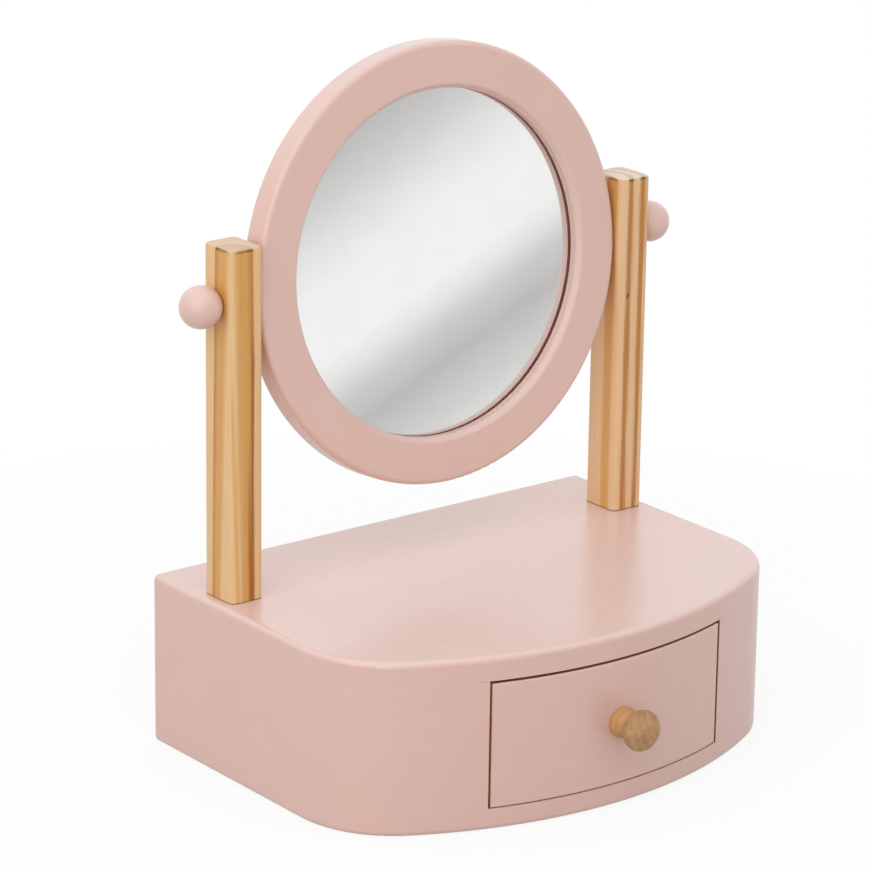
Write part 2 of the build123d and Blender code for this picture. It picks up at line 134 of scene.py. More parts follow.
def blend_colours(tree, share, first, second, how="MIX"):
    """Mixes two colours by a share and gives the colour's socket back."""
    mixed = add_node(tree, "ShaderNodeMix", {"data_type": "RGBA", "blend_type": how})
    for socket, value in zip((mixed.inputs[0], mixed.inputs[6], mixed.inputs[7]), (share, first, second)):
        feed(tree, socket, value)
    return mixed.outputs[2]


def noise(tree, position, scale, detail=2, roughness=0.5, distortion=0.0):
    """Soft noise, around a half, at a place."""
    made = add_node(tree, "ShaderNodeTexNoise", Vector=position, Scale=scale, Detail=detail,
                    Roughness=roughness, Distortion=distortion)
    return made.outputs["Fac"]


def screen(red, green, blue):
    """A colour as a screen shows it, 0 to 255, in linear values."""
    shares = [c / 255 for c in (red, green, blue)]
    return (*[c / 12.92 if c < 0.04045 else ((c + 0.055) / 1.055) ** 2.4 for c in shares], 1.0)


print("helpers ready")

# %% Helpers for groups and materials
FLOAT, COLOUR, VECTOR = "NodeSocketFloat", "NodeSocketColor", "NodeSocketVector"


def new_group(name, inputs, outputs):
    """An empty shader group, with the sockets of its two ends."""
    group = bpy.data.node_groups.new(name, "ShaderNodeTree")
    for label, kind in inputs:
        group.interface.new_socket(label, in_out="INPUT", socket_type=kind)
    for label, kind in outputs:
        group.interface.new_socket(label, in_out="OUTPUT", socket_type=kind)
    return group, group.nodes.new("NodeGroupInput").outputs, group.nodes.new("NodeGroupOutput").inputs


def place_group(tree, group, **sockets):
    """Puts a group into a tree and feeds its inputs by name."""
    return add_node(tree, "ShaderNodeGroup", {"node_tree": group}, **sockets)


def new_material(name):
    """A material with one Principled shader, its tree, and the position and facing on the piece."""
    material = bpy.data.materials.new(name)
    material.use_nodes = True
    tree = material.node_tree
    here = add_node(tree, "ShaderNodeTexCoord").outputs
    return material, tree, tree.nodes["Principled BSDF"], here["Object"], here["Normal"]


def split(tree, triple):
    """The x, y and z of a position or a facing, as sockets."""
    return add_node(tree, "ShaderNodeSeparateXYZ", Vector=triple).outputs


def grey_of(tree, value):
    """One value as a grey colour."""
    return add_node(tree, "ShaderNodeCombineColor", Red=value, Green=value, Blue=value).outputs[0]


def measured_from(tree, position, place, turn, size=(1, 1, 1)):
    """A position as it is from another place, in another direction and size."""
    return add_node(tree, "ShaderNodeMapping", {"vector_type": "TEXTURE"}, Vector=position, Location=place,
                    Rotation=turn, Scale=size).outputs[0]


def bump(tree, height, depth):
    """A bump of a real depth, in metres, as a normal."""
    return add_node(tree, "ShaderNodeBump", Height=height, Distance=depth).outputs["Normal"]


print("groups and materials can be made")

# %% [markdown]
# ## Sprayed paint
# The base, the mirror's frame and its two balls are fibreboard and wood under a
# satin pale pink spray coat and a thin clear lacquer. A real coat is never one
# flat colour: it lies a little thicker in places, its skin has a fine orange-peel
# texture, it pulls thin over edges and a few specks are caught in it. Edges are
# paler, partly for the thin coat and partly as a painted highlight, and faces that
# look up get a whitish layer, a painted sheen. It could be painted by hand on
# unwrapped faces, but noise in the object's own space needs no unwrapping and
# runs on from one board to the next without a seam, as the real coat does.

# %% The paint's skin, as a group
CLOUDS_PER_METRE, SPECKS_PER_METRE = 38, 85
PEEL_PER_METRE, SPRAY_PER_METRE = 900, 2600
# The second colour here is a painted sheen, laid whitish over faces that look up.
SPECK_BROWN, PAINTED_SHEEN_WHITE = screen(150, 112, 100), screen(243, 232, 230)
# Edges get a paler colour: partly a thin coat, partly a painted highlight.
THIN_IN_CLOUDS, THIN_AND_HIGHLIGHT_ON_EDGES, SPECK_SHARE = 0.07, 0.15, 0.25
paint_skin, skin_in, skin_out = new_group(
    "Paint skin",
    [("Position", VECTOR), ("Colour", COLOUR), ("Thin Colour", COLOUR), ("Edge", FLOAT), ("Up", FLOAT),
     ("Roughness", FLOAT)],
    [("Colour", COLOUR), ("Roughness", FLOAT), ("Height", FLOAT)],
)
cloud = noise(paint_skin, skin_in["Position"], CLOUDS_PER_METRE, 3, 0.55)
peel = noise(paint_skin, skin_in["Position"], PEEL_PER_METRE)
spray = noise(paint_skin, skin_in["Position"], SPRAY_PER_METRE, 1)
dust = add_node(paint_skin, "ShaderNodeTexVoronoi", Vector=skin_in["Position"],
                Scale=SPECKS_PER_METRE).outputs
dust_draw = add_node(paint_skin, "ShaderNodeSeparateColor", Color=dust["Color"]).outputs[0]
speck_round = between(paint_skin, dust["Distance"], 0.03, 0.01)
speck = product(paint_skin, speck_round, between(paint_skin, dust_draw, 0.88, 0.92))
thin = calc(paint_skin, "MULTIPLY", between(paint_skin, cloud, 0.35, 0.75), THIN_IN_CLOUDS)
# Paler on edges: partly thin coat, partly painted highlight.
thin = calc(paint_skin, "MULTIPLY_ADD", skin_in["Edge"], THIN_AND_HIGHLIGHT_ON_EDGES, thin, clamp=True)
coat = blend_colours(paint_skin, thin, skin_in["Colour"], skin_in["Thin Colour"])
coat = blend_colours(paint_skin, product(paint_skin, speck, SPECK_SHARE), coat, SPECK_BROWN)
# Faces that look up are whitened here: a painted sheen.
faces_up_for_sheen = between(paint_skin, skin_in["Up"], 0.3, 1.0)
painted_sheen = product(paint_skin, faces_up_for_sheen, between(paint_skin, cloud, 0.3, 0.7, 0.25, 0.27))
coat = blend_colours(paint_skin, painted_sheen, coat, PAINTED_SHEEN_WHITE)
feed(paint_skin, skin_out["Colour"], coat)
gloss = skin_in["Roughness"]
for unevenness in (cloud, spray):
    change = calc(paint_skin, "SUBTRACT", unevenness, 0.5)
    gloss = calc(paint_skin, "MULTIPLY_ADD", change, 0.02, gloss, clamp=True)
feed(paint_skin, skin_out["Roughness"], gloss)
skin_height = calc(paint_skin, "MULTIPLY_ADD", spray, 0.25, peel)
feed(paint_skin, skin_out["Height"], calc(paint_skin, "MULTIPLY_ADD", speck, 2.5, skin_height))
print(paint_skin.name, len(paint_skin.nodes), "nodes")

# %% [markdown]
# ## Two pink finishes
# Where the edges of the frame and the balls are tight the coat pulls thin, and
# there it is paler, partly for the thin coat and partly as a painted highlight.
# These places are where a Bevel node's softened normal turns away from the true
# one. The routed wall of the frame's opening is matt, and its colour is painted
# paler: painted light that lifts the shade in the opening. Behind the lip the
# colour is a bright red, painted light that turns the line the glass shows between
# the lip and its reflection from dark to red-brown.
# On the case the Bevel node would also draw a line along every joint between two
# boards, where the real coat runs across. There the mask comes from the facing
# instead: only the rounded rims face half up or half down, and they get the same
# paler edge colour.

# %% Pink paint
PINK = screen(225, 186, 174)
# The second colour is painted light: a paler pink for the routed wall of the opening.
PINK_THIN, PINK_PAINTED_LIGHT_ON_WALL = screen(235, 206, 196), screen(240, 209, 200)
PAINT_ROUGHNESS = 0.27
PEEL_DEPTH = 0.0006 * MM
LACQUER, LACQUER_ROUGHNESS = 0.6, 0.3
# Bright red behind the lip: painted light in the line between the lip and its reflection.
LIP_RED_PAINTED_LIGHT = screen(236, 152, 124)
# Radius of the paler edges, which are partly thin coat and partly painted highlight.
THIN_AND_HIGHLIGHT_EDGE = 1.2 * MM
SKIN = 0.1 * MM  # play in tests of where a point lies


def tight_edges(tree, radius):
    """1 on edges and tight rounds, 0 on flat faces."""
    soft = add_node(tree, "ShaderNodeBevel", {"samples": 4}, Radius=radius).outputs["Normal"]
    true = add_node(tree, "ShaderNodeNewGeometry").outputs["Normal"]
    return between(tree, vector(tree, "DOT_PRODUCT", soft, true)["Value"], 0.995, 0.9)


def roughen(tree, shader, roughness, share, more):
    """Adds roughness to a finish by a share, and takes its lacquer away."""
    rougher = calc(tree, "MULTIPLY_ADD", share, more, roughness, clamp=True)
    feed(tree, shader.inputs["Roughness"], rougher)
    feed(tree, shader.inputs["Coat Weight"], between(tree, share, 0, 1, LACQUER, 0))
    shader.inputs["Coat Roughness"].default_value = LACQUER_ROUGHNESS


def coat_with_pink(tree, position, facing, edge):
    """The sprayed skin in a tree, with its outputs."""
    return place_group(tree, paint_skin, Position=position, Colour=PINK, Thin_Colour=PINK_THIN, Edge=edge,
                       Up=split(tree, facing)["Z"], Roughness=PAINT_ROUGHNESS).outputs


frame_paint, tree, shader, position, facing = new_material("pink_paint_frame")
# Tight edges get the paler colour: partly thin coat, partly painted highlight.
skin = coat_with_pink(tree, position, facing, tight_edges(tree, THIN_AND_HIGHLIGHT_EDGE))
from_middle = vector(tree, "SUBTRACT", position, plate_centre)[0]
depth = vector(tree, "DOT_PRODUCT", from_middle, outward)["Value"]
round_axis = vector(tree, "CROSS_PRODUCT", from_middle, outward)[0]
off_axis = vector(tree, "LENGTH", round_axis)["Value"]
from_axis = vector(tree, "NORMALIZE", vector(tree, "CROSS_PRODUCT", outward, round_axis)[0])[0]
back_low, back_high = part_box("mirror_back_panel")
in_opening = calc(tree, "LESS_THAN", off_axis, (back_high.x - back_low.x) / 2 + 4 * SKIN)
behind_lip = product(tree, in_opening, calc(tree, "LESS_THAN", depth, half + SKIN))
away_facing = vector(tree, "DOT_PRODUCT", facing, from_axis)["Value"]
routed = product(tree, in_opening, between(tree, away_facing, -0.6, -0.95))
# The routed wall is painted paler: painted light against its shade.
pink = blend_colours(tree, product(tree, routed, 0.8), skin["Colour"], PINK_PAINTED_LIGHT_ON_WALL)
# Behind the lip the bright red is painted light.
feed(tree, shader.inputs["Base Color"], blend_colours(tree, behind_lip, pink, LIP_RED_PAINTED_LIGHT))
roughen(tree, shader, skin["Roughness"], routed, 0.3)
feed(tree, shader.inputs["Normal"], bump(tree, skin["Height"], PEEL_DEPTH))
print(frame_paint.name)

# %% [markdown]
# ## Paint that stops at the drawer's gap
# A spray gun doesn't reach into the narrow gap round the drawer's front, so the
# cut edges there stay brown fibreboard and the bay behind stays bare. Near the
# front that board is red-brown, partly a mist of undercoat and partly a painted
# shade, and it makes the gap read as a dark red-brown line. How far the paint
# reaches in differs from side to side and sets how dark each side of the line
# is, also a painted shade. Below the drawer the gap is the narrowest and the paint
# reaches further in over the bay's floor, so that line is the faintest. How deep
# a point lies behind the bowed front follows from its distance to the bow's axis,
# and that axis is measured on the drawer's own front. The top board meets the wall
# beside the drawer in a joint that shows as a hairline for a few millimetres.

# %% Where the bow's axis and the bay are
front_points = [point.co for point in pieces["drawer_front"].data.vertices]
bow_front = min(point.y for point in front_points)
half_front = max(point.x for point in front_points)
flank = min((point for point in front_points if point.x > 0.6 * half_front), key=lambda point: point.y)
sagitta = flank.y - bow_front
bow_radius = (flank.x ** 2 + sagitta ** 2) / (2 * sagitta)
bow_axis = Vector((0, bow_front + bow_radius, 0))
bay_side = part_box("right_divider")[0].x
bay_floor, bay_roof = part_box("bottom_board")[1].z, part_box("top_board")[0].z
bay_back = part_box("back_panel")[0].y
print("bow radius", round(bow_radius / MM, 2), "bay half width", round(bay_side / MM, 2))

# %% Pink paint of the case and the drawer's front
# Where the paint stops on each side sets how dark that side of the gap line reads: painted shade.
PAINT_INTO_GAP, MORE_ON_FLOOR, LESS_ON_SIDES = 0.5 * MM, 2.2 * MM, -0.8 * MM
PAINT_FRAY, PAINT_FADE = 0.8 * MM, 0.6 * MM
MIST_AND_SHADE_FADES, MIST_AND_SHADE_ENDS = 4 * MM, 7 * MM
JOINT_EDGE, JOINT_CORE, JOINT_RUN = 0.22 * MM, 0.08 * MM, 8 * MM
JOINT_BROWN = screen(150, 104, 92)
# Red-brown board near the front: partly overspray, partly painted shade in the gap.
MIST_AND_GAP_SHADE_BOARD, MIST_AND_GAP_SHADE_BOARD_PALE = screen(164, 97, 73), screen(188, 128, 97)
BARE_BOARD, BARE_BOARD_PALE = screen(158, 120, 88), screen(182, 146, 112)


def rounded_rims(tree, facing):
    """1 where a face looks half up or half down, 0 on level and upright faces."""
    up = calc(tree, "ABSOLUTE", split(tree, facing)["Z"])
    return product(tree, between(tree, up, 0.1, 0.45), between(tree, up, 0.98, 0.8))


case_paint, tree, shader, position, facing = new_material("pink_paint_case")
# The rounded rims get the paler edge colour: partly thin coat, partly painted highlight.
skin = coat_with_pink(tree, position, facing, rounded_rims(tree, facing))
x, y, z = split(tree, position)
out = calc(tree, "ABSOLUTE", x)
from_axis = calc(tree, "SUBTRACT", y, bow_axis.y)
reach = calc(tree, "SQRT", calc(tree, "MULTIPLY_ADD", x, x, product(tree, from_axis, from_axis)))
behind = calc(tree, "SUBTRACT", bow_radius, reach)
fray = calc(tree, "SUBTRACT", noise(tree, position, 260, 4, 0.7), 0.5)
frayed = calc(tree, "MULTIPLY_ADD", fray, PAINT_FRAY, behind)
in_bay = product(tree, calc(tree, "LESS_THAN", out, bay_side + SKIN),
                 calc(tree, "LESS_THAN", y, bay_back + SKIN),
                 calc(tree, "GREATER_THAN", z, bay_floor - SKIN),
                 calc(tree, "LESS_THAN", z, bay_roof + SKIN))
on_floor = calc(tree, "LESS_THAN", z, bay_floor + SKIN)
on_side = calc(tree, "GREATER_THAN", out, half_front - SKIN)
paint_end = calc(tree, "MULTIPLY_ADD", on_floor, MORE_ON_FLOOR, PAINT_INTO_GAP)
paint_end = calc(tree, "MULTIPLY_ADD", on_side, LESS_ON_SIDES, paint_end)
past_paint = calc(tree, "SUBTRACT", frayed, paint_end)
bare = product(tree, in_bay, between(tree, past_paint, 0, PAINT_FADE))
fibres = noise(tree, position, 1500, 5, 0.75)
pale_fibres = between(tree, fibres, 0.35, 0.7)
# Red-brown near the front: partly overspray, partly painted shade in the gap.
mist_and_gap_shade = blend_colours(tree, pale_fibres, MIST_AND_GAP_SHADE_BOARD, MIST_AND_GAP_SHADE_BOARD_PALE)
plain = blend_colours(tree, pale_fibres, BARE_BOARD, BARE_BOARD_PALE)
board = blend_colours(tree, between(tree, behind, MIST_AND_SHADE_FADES, MIST_AND_SHADE_ENDS), mist_and_gap_shade, plain)
off_joint = calc(tree, "ABSOLUTE", calc(tree, "SUBTRACT", z, bay_roof))
joint = product(tree, between(tree, off_joint, JOINT_EDGE, JOINT_CORE),
                between(tree, out, bay_side + JOINT_RUN, bay_side),
                calc(tree, "GREATER_THAN", out, bay_side),
                calc(tree, "LESS_THAN", behind, PAINT_INTO_GAP))
pink = blend_colours(tree, product(tree, joint, 0.4), skin["Colour"], JOINT_BROWN)
feed(tree, shader.inputs["Base Color"], blend_colours(tree, bare, pink, board))
roughen(tree, shader, skin["Roughness"], bare, 0.5)
height = calc(tree, "MULTIPLY_ADD", product(tree, fibres, bare), 15.0, skin["Height"])
feed(tree, shader.inputs["Normal"], bump(tree, height, PEEL_DEPTH))
print(case_paint.name, "bare in the bay up to y =", round(bay_back / MM, 1), "mm")

# %% [markdown]
# ## Solid wood
# A tree's growth rings are shells round its heart, so stripes on a board are
# slices of those shells. Drawing stripes on each face would never meet at the
# edges. Here a group measures how far a point is from the heart, a line that may
# lie inside or outside the board and may lean. It gives that distance as a count
# of rings: 0 at the end of the pale core and 1 at the first dark line, and both
# may taper up the tree. A colour ramp in each wood's own material then decides
# how a ring looks. The same group gives the fine fibres and the pores, both drawn
# out along the grain.

# %% Growth rings, as a group
growth_rings, ring_in, ring_out = new_group(
    "Growth rings",
    [("Position", VECTOR), ("Heart X", FLOAT), ("Heart Y", FLOAT), ("Lean X", FLOAT), ("Lean Y", FLOAT),
     ("Core", FLOAT), ("Core Taper", FLOAT), ("Line", FLOAT), ("Line Taper", FLOAT), ("Wander", FLOAT),
     ("Fineness", FLOAT)],
    [("Ring", FLOAT), ("Fibre", FLOAT), ("Pores", FLOAT)],
)


def drawn_out(tree, across_x, across_y, along, share):
    """A position squeezed along the grain, so that noise in it is drawn out."""
    squeezed = product(tree, along, share)
    return add_node(tree, "ShaderNodeCombineXYZ", X=across_x, Y=across_y, Z=squeezed).outputs[0]


rx, ry, rz = split(growth_rings, ring_in["Position"])
sway = noise(growth_rings, drawn_out(growth_rings, rx, ry, rz, 0.12), 95)
sway = calc(growth_rings, "SUBTRACT", sway, 0.5)
heart_x = calc(growth_rings, "MULTIPLY_ADD", rz, ring_in["Lean X"], ring_in["Heart X"])
heart_y = calc(growth_rings, "MULTIPLY_ADD", rz, ring_in["Lean Y"], ring_in["Heart Y"])
off_x, off_y = calc(growth_rings, "SUBTRACT", rx, heart_x), calc(growth_rings, "SUBTRACT", ry, heart_y)
squares = calc(growth_rings, "MULTIPLY_ADD", off_x, off_x, product(growth_rings, off_y, off_y))
shell = calc(growth_rings, "MULTIPLY_ADD", sway, ring_in["Wander"], calc(growth_rings, "SQRT", squares))
core = calc(growth_rings, "MULTIPLY_ADD", rz, ring_in["Core Taper"], ring_in["Core"])
line = calc(growth_rings, "MULTIPLY_ADD", rz, ring_in["Line Taper"], ring_in["Line"])
past_core = calc(growth_rings, "SUBTRACT", shell, core)
ring_width = calc(growth_rings, "SUBTRACT", line, core)
feed(growth_rings, ring_out["Ring"], calc(growth_rings, "DIVIDE", past_core, ring_width))
fine = product(growth_rings, ring_in["Fineness"], 1400)
threads = drawn_out(growth_rings, rx, ry, rz, 0.018)
feed(growth_rings, ring_out["Fibre"], noise(growth_rings, threads, fine, 4, 0.65))
dashes = add_node(growth_rings, "ShaderNodeTexVoronoi", Vector=drawn_out(growth_rings, rx, ry, rz, 0.1),
                  Scale=product(growth_rings, ring_in["Fineness"], 900))
feed(growth_rings, ring_out["Pores"], between(growth_rings, dashes.outputs["Distance"], 0.32, 0.12))
print(growth_rings.name, len(growth_rings.nodes), "nodes")

# %% [markdown]
# ## Pine posts
# Pine has wide rings: pale early wood that darkens to an orange-brown line and
# then starts pale again at once. In the left post the heart runs up its front
# left corner, so one ring wraps that corner and its dark line shows on the front.
# In the right post the heart is outside the wood, which leaves one broad band on
# its side and two narrow dark lines on its front. Dark streaks are kept to the
# fronts and the tops, because on a side that a ring almost follows, a streak would
# spread into a broad stain. At the top the saw crossed the rings: end grain is
# paler. Where the top rounds over, a dark rim is painted, stronger where a band is
# orange: partly each band bending over and partly a painted shade on the
# roundover. The right post's end grain is paler than the left's, painted light
# against the frame's shadow on its top, and a thin dark brown line at each post's
# foot is a painted contact shadow.

# %% Pine
PALE_PINE, GOLD_PINE, WARM_PINE = screen(231, 191, 138), screen(223, 173, 107), screen(217, 160, 88)
DEEP_PINE, DARK_PINE, PINE_STREAK = screen(205, 144, 70), screen(190, 126, 54), screen(170, 102, 34)
END_GRAIN, END_GRAIN_DARK = screen(224, 197, 168), screen(192, 152, 114)
# The rim brown is partly grain and partly painted shade; the foot brown is a painted contact shadow.
RESIN_BROWN, RIM_GRAIN_AND_SHADE_BROWN, FOOT_SHADOW_BROWN = screen(84, 52, 26), screen(108, 68, 36), screen(104, 70, 46)
RAMP_RINGS, FOOT_LINE, PINE_RELIEF = 2.5, 0.5 * MM, 0.012 * MM
post_foot, post_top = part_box("left_post")[0].z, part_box("left_post")[1].z


def colour_ramp(tree, value, stops):
    """A ramp through any number of places and colours."""
    made = add_node(tree, "ShaderNodeValToRGB", Fac=value)
    while len(made.color_ramp.elements) < len(stops):
        made.color_ramp.elements.new(0.5)
    for stop, (place, colour) in zip(made.color_ramp.elements, stops):
        stop.position, stop.color = place, colour
    return made.outputs["Color"]


def pine(name, ring_table, streaks=(), resin=None, end_grain=END_GRAIN, **grain):
    """Pine from the place of its heart and a table of rings and colours. A streak is a ring, half its
    width in rings, the height where it ends, the height below which it is full, and its colour."""
    material, tree, shader, position, facing = new_material(name)
    rings = place_group(tree, growth_rings, Position=position, Fineness=1.0, **grain).outputs
    share = calc(tree, "DIVIDE", rings["Ring"], RAMP_RINGS)
    wood = colour_ramp(tree, share, [(ring / RAMP_RINGS, colour) for ring, colour in ring_table])
    height = split(tree, position)["Z"]
    up = split(tree, facing)["Z"]
    to_front = between(tree, split(tree, facing)["Y"], -0.3, -0.8)
    to_front = calc(tree, "MAXIMUM", to_front, between(tree, up, 0.4, 0.7))
    ragged = calc(tree, "MULTIPLY_ADD", calc(tree, "SUBTRACT", rings["Fibre"], 0.5), 0.3, rings["Ring"])
    for ring, half_width, high, low, colour in streaks:
        off = calc(tree, "ABSOLUTE", calc(tree, "SUBTRACT", ragged, ring))
        mark = product(tree, between(tree, off, half_width, 0.3 * half_width), to_front)
        wood = blend_colours(tree, product(tree, mark, between(tree, height, high, low)), wood, colour)
    if resin:
        place, turn, size = resin
        away = vector(tree, "LENGTH", measured_from(tree, position, place, (0, turn, 0), size))["Value"]
        wood = blend_colours(tree, between(tree, away, 1.0, 0.55), wood, RESIN_BROWN)
    warm = between(tree, add_node(tree, "ShaderNodeSeparateColor", Color=wood).outputs["Green"], 0.47, 0.28)
    shine = between(tree, rings["Fibre"], 0.25, 0.75, 0.93, 1.06, smooth=False)
    shine = calc(tree, "MULTIPLY_ADD", product(tree, rings["Pores"], warm), -0.1, shine)
    wood = blend_colours(tree, 1.0, wood, grey_of(tree, shine), "MULTIPLY")
    ends = blend_colours(tree, calc(tree, "MULTIPLY_ADD", warm, 0.4, product(tree, rings["Pores"], 0.25)),
                         end_grain, END_GRAIN_DARK)
    wood = blend_colours(tree, product(tree, between(tree, up, 0.45, 0.85), 0.94), wood, ends)
    # A dark rim where the top rounds over: partly grain, partly painted shade.
    bend = product(tree, between(tree, up, 0.03, 0.2), between(tree, up, 0.8, 0.5))
    rim = product(tree, bend, calc(tree, "MULTIPLY_ADD", warm, 0.85, 0.08))
    wood = blend_colours(tree, rim, wood, RIM_GRAIN_AND_SHADE_BROWN)
    # A dark line at the post's foot: a painted contact shadow.
    foot = between(tree, height, post_foot + FOOT_LINE, post_foot + FOOT_LINE / 2)
    wood = blend_colours(tree, product(tree, foot, 0.8), wood, FOOT_SHADOW_BROWN)
    feed(tree, shader.inputs["Base Color"], wood)
    feed(tree, shader.inputs["Roughness"], between(tree, rings["Fibre"], 0.2, 0.8, 0.38, 0.52))
    relief = calc(tree, "MULTIPLY_ADD", rings["Pores"], -0.6, rings["Fibre"])
    feed(tree, shader.inputs["Normal"], bump(tree, relief, PINE_RELIEF))
    return material


print("posts from", round(post_foot / MM, 1), "to", round(post_top / MM, 1), "mm")

# %% Pine of the left post
left_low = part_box("left_post")[0]
UPPER_STREAK, LOWER_STREAK, PALE_STREAK = (178 * MM, 150 * MM), (135 * MM, 75 * MM), (170 * MM, 130 * MM)
left_pine = pine(
    "pine_left_post",
    [(0, PALE_PINE), (0.14, GOLD_PINE), (0.38, WARM_PINE), (0.7, WARM_PINE), (0.88, DEEP_PINE),
     (1.0, DARK_PINE), (1.09, PALE_PINE)],
    streaks=[(0.96, 0.12, *UPPER_STREAK, PINE_STREAK), (0.82, 0.32, *LOWER_STREAK, PINE_STREAK),
             (-0.2, 0.16, *PALE_STREAK, GOLD_PINE)],
    Heart_X=left_low.x, Heart_Y=left_low.y + 2.9 * MM, Lean_X=0.0, Lean_Y=-0.0115,
    Core=6.5 * MM, Core_Taper=-0.0306, Line=10.3 * MM, Line_Taper=-0.0074, Wander=0.9 * MM,
)
print(left_pine.name)

# %% Pine of the right post
right_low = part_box("right_post")[0]
# The right post's end grain is paler: painted light against the frame's shadow on its top.
RIGHT_PALE, RIGHT_END_GRAIN_PAINTED_LIGHT = screen(233, 192, 146), screen(236, 216, 196)
RESIN_PLACE = Vector((right_low.x + 3.9 * MM, right_low.y, 149.8 * MM))
RESIN_TURN, RESIN_SIZE = 0.3, (0.5 * MM, 3 * MM, 1.7 * MM)
WHOLE_POST = (2 * post_top, post_top)
right_pine = pine(
    "pine_right_post",
    [(0, WARM_PINE), (0.56, WARM_PINE), (0.62, RIGHT_PALE)],
    streaks=[(1.12, 0.16, *WHOLE_POST, DARK_PINE), (1.63, 0.17, *WHOLE_POST, DARK_PINE)],
    end_grain=RIGHT_END_GRAIN_PAINTED_LIGHT,
    resin=(RESIN_PLACE, RESIN_TURN, RESIN_SIZE),
    Heart_X=right_low.x - 5.7 * MM, Heart_Y=right_low.y + 5.8 * MM, Lean_X=0.003, Lean_Y=0.0,
    Core=0.0, Core_Taper=0.0, Line=10 * MM, Line_Taper=0.0, Wander=0.5 * MM,
)
print(right_pine.name)

# %% [markdown]
# ## Turned beech
# The knob, the pivot pins and the dowels are plain beech: tan, with soft darker
# clouds, short flecks along the grain and faint rings from the lathe's tool. The knob
# was turned with its grain along its axis, from front to back, so its position is
# turned before it goes into the same ring group. Its collar is given a warmer tone
# than its head.

# %% Beech
BEECH_RINGS = {"Heart_X": 9 * MM, "Heart_Y": 4 * MM, "Line": 2.4 * MM, "Wander": 2.2 * MM, "Fineness": 0.8}
COLLAR_STARTS, COLLAR_FULL = 1 * MM, -3 * MM
BEECH_RELIEF, TOOL_MARKS_PER_METRE = 0.005 * MM, 9000.0


def beech(name, turn, centre, colour, dark, tool_marks, collar=None):
    """Beech with its grain along the direction that turn lays on the z axis."""
    material, tree, shader, position, facing = new_material(name)
    laid = measured_from(tree, position, centre, turn)
    rings = place_group(tree, growth_rings, Position=laid, **BEECH_RINGS).outputs
    wave = calc(tree, "SINE", product(tree, rings["Ring"], math.tau))
    clouds = between(tree, noise(tree, laid, 230, 3, 0.55), 0.4, 0.7)
    shade = calc(tree, "MULTIPLY_ADD", clouds, 0.5, calc(tree, "MULTIPLY_ADD", wave, 0.12, 0.14))
    shade = calc(tree, "MULTIPLY_ADD", rings["Pores"], 0.15, shade, clamp=True)
    wood = blend_colours(tree, shade, colour, dark)
    if collar:
        near_drawer = between(tree, split(tree, laid)["Z"], COLLAR_STARTS, COLLAR_FULL)
        wood = blend_colours(tree, product(tree, near_drawer, 0.8), wood, collar)
    feed(tree, shader.inputs["Base Color"], wood)
    feed(tree, shader.inputs["Roughness"], between(tree, rings["Fibre"], 0.2, 0.8, 0.45, 0.6))
    turns = product(tree, split(tree, laid)["Z"], TOOL_MARKS_PER_METRE)
    marks = product(tree, calc(tree, "SINE", turns), tool_marks)
    relief = calc(tree, "MULTIPLY_ADD", rings["Pores"], -0.7, marks)
    feed(tree, shader.inputs["Normal"], bump(tree, relief, BEECH_RELIEF))
    return material


ALONG_X, ALONG_Y, ALONG_Z = (0, math.pi / 2, 0), (math.pi / 2, 0, 0), (0, 0, 0)
KNOB_COLOURS, KNOB_COLLAR = (screen(190, 148, 100), screen(148, 109, 68)), screen(206, 154, 98)
PIN_COLOURS = screen(220, 188, 146), screen(176, 134, 92)
knob_beech = beech("beech_knob", ALONG_Y, middle("drawer_knob"), *KNOB_COLOURS, 0.25, collar=KNOB_COLLAR)
pin_beech = beech("beech_pins", ALONG_X, middle("left_pivot_pin"), *PIN_COLOURS, 0.1)
dowel_beech = beech("beech_dowels", ALONG_Z, (0, 0, 0), *PIN_COLOURS, 0.1)
print(knob_beech.name, pin_beech.name, dowel_beech.name)

# %% [markdown]
# ## Plywood, hardboard and felt
# The drawer's box is thin birch plywood: a calm pale face, and on every cut edge
# the plies lie as light and dark lines. The direction across the sheet differs
# from piece to piece, so a group takes the position across the sheet and the
# facing, and gives the edge lines only where the sheet was cut. The mirror's
# back is brown hardboard, pressed from fine fibre, and the pad between it and the
# glass is pale felt.

# %% Ply edges, as a group
ply_lines, ply_in, ply_out = new_group(
    "Ply lines",
    [("Across", FLOAT), ("Facing", FLOAT), ("Ply", FLOAT), ("Fibre", FLOAT)],
    [("Lines", FLOAT)],
)
layer = calc(ply_lines, "PINGPONG", calc(ply_lines, "DIVIDE", ply_in["Across"], ply_in["Ply"]), 1.0)
cut = calc(ply_lines, "LESS_THAN", calc(ply_lines, "ABSOLUTE", ply_in["Facing"]), 0.7)
rough_line = calc(ply_lines, "MULTIPLY_ADD", calc(ply_lines, "SUBTRACT", ply_in["Fibre"], 0.5), 0.5, layer)
feed(ply_lines, ply_out["Lines"], product(ply_lines, between(ply_lines, rough_line, 0.35, 0.65), cut))
print(ply_lines.name)

# %% Plywood
PLY_RINGS = {"Heart_X": 120 * MM, "Heart_Y": 30 * MM, "Line": 3.7 * MM, "Wander": 5 * MM, "Fineness": 0.6}
PLY_THICKNESS, PLY_RELIEF = 1 * MM, 0.04 * MM
BIRCH, BIRCH_FIGURE = screen(228, 205, 168), screen(205, 172, 128)
BIRCH_FIBRE, PLY_EDGE = screen(190, 154, 110), screen(150, 108, 68)


